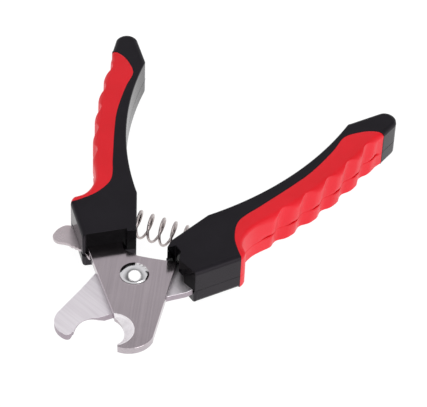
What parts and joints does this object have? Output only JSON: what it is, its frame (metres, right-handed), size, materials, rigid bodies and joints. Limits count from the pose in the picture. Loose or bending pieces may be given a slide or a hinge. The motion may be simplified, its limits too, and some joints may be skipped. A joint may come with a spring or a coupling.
{
  "type": "pet nail trimmer",
  "caption": "Plier-style pet nail trimmer: two notched steel blades on a domed rivet, black handles with red ribbed grips, a return spring and a lock lever.",
  "frame": {"origin": "centre of the bounding box's underside: the plane that both handles' rear faces lie on, midway between the handles and midway between blade tips and handle ends", "axes": "+Y from the blades towards the handle ends, along the line midway between the handles; +Z along the rivet, towards its domed head; +X towards the handle that carries the rear blade"},
  "size_m": [0.1058, 0.1347, 0.014],
  "materials": {
    "front_blade_steel": "satin, brushed along the blade",
    "rear_blade_steel": "satin, brushed across the blade",
    "rivet_chrome": "polished",
    "fastener_steel": "bright",
    "spring_wire": "bright drawn wire",
    "black_plastic": "satin, finely grained",
    "red_grip": "soft-touch, satin"
  },
  "bodies": {
    "left_half": {"front_blade": "front_blade_steel", "pivot_rivet": "rivet_chrome", "pivot_washer": "fastener_steel", "pivot_collar": "fastener_steel", "left_front_shell": "black_plastic", "left_rear_shell": "black_plastic", "left_front_grip": "red_grip", "left_rear_grip": "red_grip", "left_screws": "fastener_steel", "return_spring": "spring_wire", "lock_pin": "fastener_steel", "lock_washer": "fastener_steel"},
    "right_half": {"rear_blade": "rear_blade_steel", "right_front_shell": "black_plastic", "right_rear_shell": "black_plastic", "right_front_grip": "red_grip", "right_rear_grip": "red_grip", "right_screws": "fastener_steel"},
    "lock": {"lock_lever": "rear_blade_steel"}
  },
  "joints": [
    {"name": "close", "type": "hinge", "parent": "left_half", "child": "right_half", "pos_m": [0, -0.03585, 0.0055], "axis": [0, 0, 1], "range_deg": [0, 36], "stiffness_Nm_per_rad": 0.3, "springref_deg": -28.65, "deforming": ["return_spring"]},
    {"name": "lock_swing", "type": "hinge", "parent": "left_half", "child": "lock", "pos_m": [-0.012, -0.02265, 0.0048], "axis": [0, 0, 1], "range_deg": [0, 14]}
  ]
}
